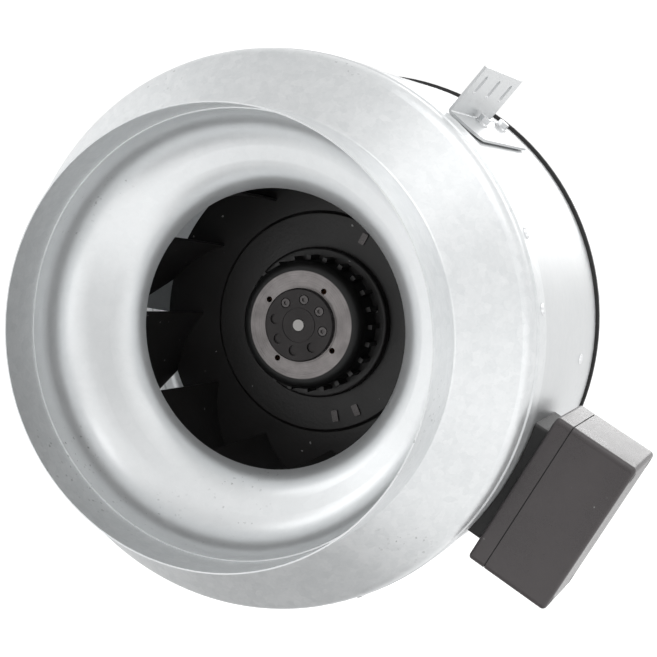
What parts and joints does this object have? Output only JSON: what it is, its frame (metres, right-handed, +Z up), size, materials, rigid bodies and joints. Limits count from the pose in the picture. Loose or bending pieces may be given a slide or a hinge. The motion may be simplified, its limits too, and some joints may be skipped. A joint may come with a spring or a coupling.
{
  "type": "inline duct fan",
  "caption": "Inline centrifugal fan for round duct: galvanised drum casing with cone ends and collars, external rotor motor and backward curved impeller, side terminal box, hanging bracket.",
  "frame": {"origin": "centre of the inlet collar's mouth, on the duct axis", "axes": "+Y along the duct axis in the direction of the air flow, +X out through the terminal box, +Z up; the hanging bracket stands 10 degrees off +Z towards +X"},
  "size_m": [0.4744, 0.4, 0.442],
  "materials": {
    "galvanised_steel": "bright galvanised sheet with fine spangle",
    "zinc_fixings": "bright zinc plated",
    "black_plastic": "fine moulded texture, warm black",
    "seal_rubber": "matt black rubber",
    "cable_sheath": "black flexible sheath",
    "die_cast_aluminium": "as cast",
    "lamination_steel": "stacked electrical steel",
    "enamelled_copper": "varnished copper windings",
    "bearing_steel": "ground steel",
    "motor_grey": "dark grey satin coating",
    "impeller_black": "black, slight sheen",
    "pale_plastic": "pale moulded plastic",
    "plated_brass": "plated brass"
  },
  "bodies": {
    "casing": {"inlet_shell": "galvanised_steel", "inlet_bellmouth": "galvanised_steel", "drum": "galvanised_steel", "joint_seal": "seal_rubber", "outlet_shell": "galvanised_steel", "lip_rivets": "zinc_fixings", "joint_rivets": "zinc_fixings", "motor_support": "galvanised_steel", "support_rivets": "zinc_fixings", "stator_flange": "die_cast_aluminium", "flange_screws": "zinc_fixings", "stator_core": "lamination_steel", "stator_windings": "enamelled_copper", "front_bearing": "bearing_steel", "rear_bearing": "bearing_steel", "mounting_bracket": "galvanised_steel", "bracket_screws": "zinc_fixings", "box_pedestal": "black_plastic", "box_base": "black_plastic", "box_screws": "zinc_fixings", "box_gasket": "seal_rubber", "terminal_block": "pale_plastic", "terminal_screws": "plated_brass", "run_capacitor": "pale_plastic", "capacitor_clip": "zinc_fixings", "earth_screw": "plated_brass", "gland_body": "black_plastic", "gland_locknut": "black_plastic", "gland_seal": "seal_rubber", "gland_nut": "black_plastic", "motor_lead": "cable_sheath", "lead_clips": "black_plastic", "lead_grommet": "seal_rubber"},
    "rotor": {"rotor_can": "motor_grey", "rotor_boss": "motor_grey", "rotor_screws": "bearing_steel", "rotor_ring": "lamination_steel", "shaft": "bearing_steel", "shaft_clip": "zinc_fixings", "impeller_hub": "impeller_black", "impeller_backplate": "impeller_black", "impeller_blades": "impeller_black", "impeller_shroud": "impeller_black", "balance_clips": "bearing_steel"},
    "terminal_cover": {"box_cover": "black_plastic", "cover_screws": "zinc_fixings"}
  },
  "joints": [
    {"name": "impeller_spin", "type": "hinge", "parent": "casing", "child": "rotor", "pos_m": [0, 0.16, 0], "axis": [0, 1, 0], "continuous": true},
    {"name": "cover_lift_off", "type": "slide", "parent": "casing", "child": "terminal_cover", "axis": [1, 0, 0], "range_m": [0, 0.09]}
  ]
}
